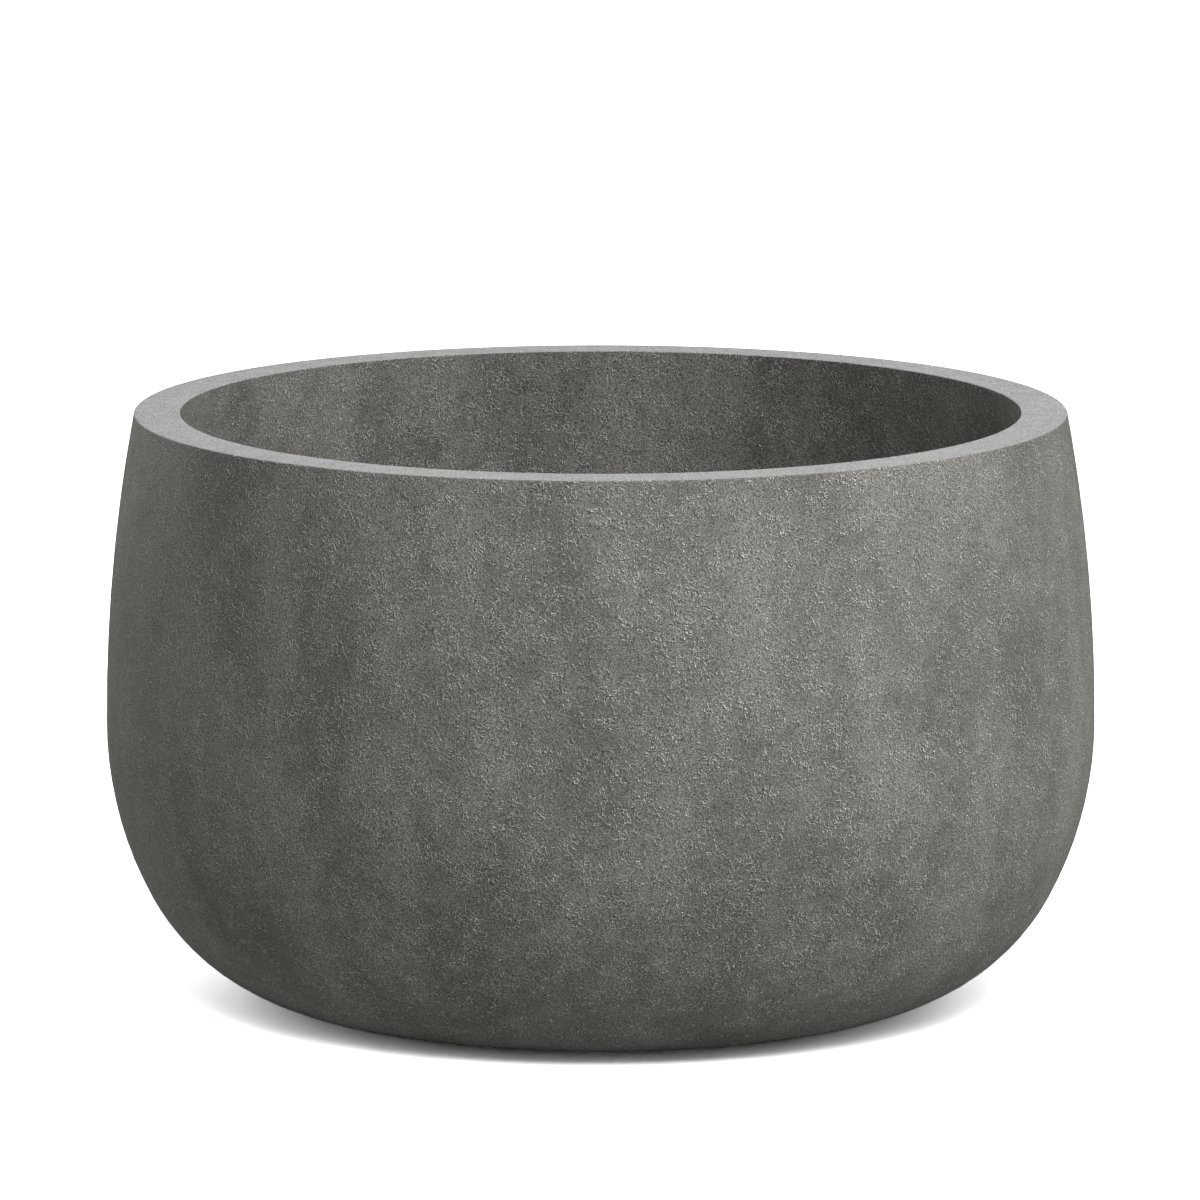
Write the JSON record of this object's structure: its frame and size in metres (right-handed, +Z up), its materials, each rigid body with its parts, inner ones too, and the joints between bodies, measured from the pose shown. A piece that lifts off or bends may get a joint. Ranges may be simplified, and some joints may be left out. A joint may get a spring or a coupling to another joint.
{
  "type": "floor planter",
  "caption": "Round bellied floor planter in stone-finished fiberglass: double-skinned wall on a foam core, flat rim, drain fitting with a pull-out stopper, and rubber feet.",
  "frame": {"origin": "on the planter's axis, in the plane that its foot pads rest on", "axes": "+Z up along the axis of the bowl; -Y towards the front of the picture, where the first foot pad is"},
  "size_m": [0.6099, 0.61, 0.37],
  "materials": {
    "stone_finish": "matte",
    "foam": "matte",
    "plywood": "matte",
    "drain_plastic": "satin",
    "rubber": "matte",
    "pad_rubber": "matte"
  },
  "bodies": {
    "planter": {"outer_shell": "stone_finish", "inner_shell": "stone_finish", "rim_ring": "plywood", "foam_core": "foam", "floor_board": "plywood", "drain_bushing": "drain_plastic", "drain_gasket": "rubber", "drain_nut": "drain_plastic", "foot_pad_1": "pad_rubber", "foot_pad_2": "pad_rubber", "foot_pad_3": "pad_rubber", "foot_pad_4": "pad_rubber"},
    "stopper": {"drain_stopper": "rubber"}
  },
  "joints": [
    {"name": "stopper_pull", "type": "slide", "parent": "planter", "child": "stopper", "axis": [0, 0, 1], "range_m": [0, 0.36]}
  ]
}
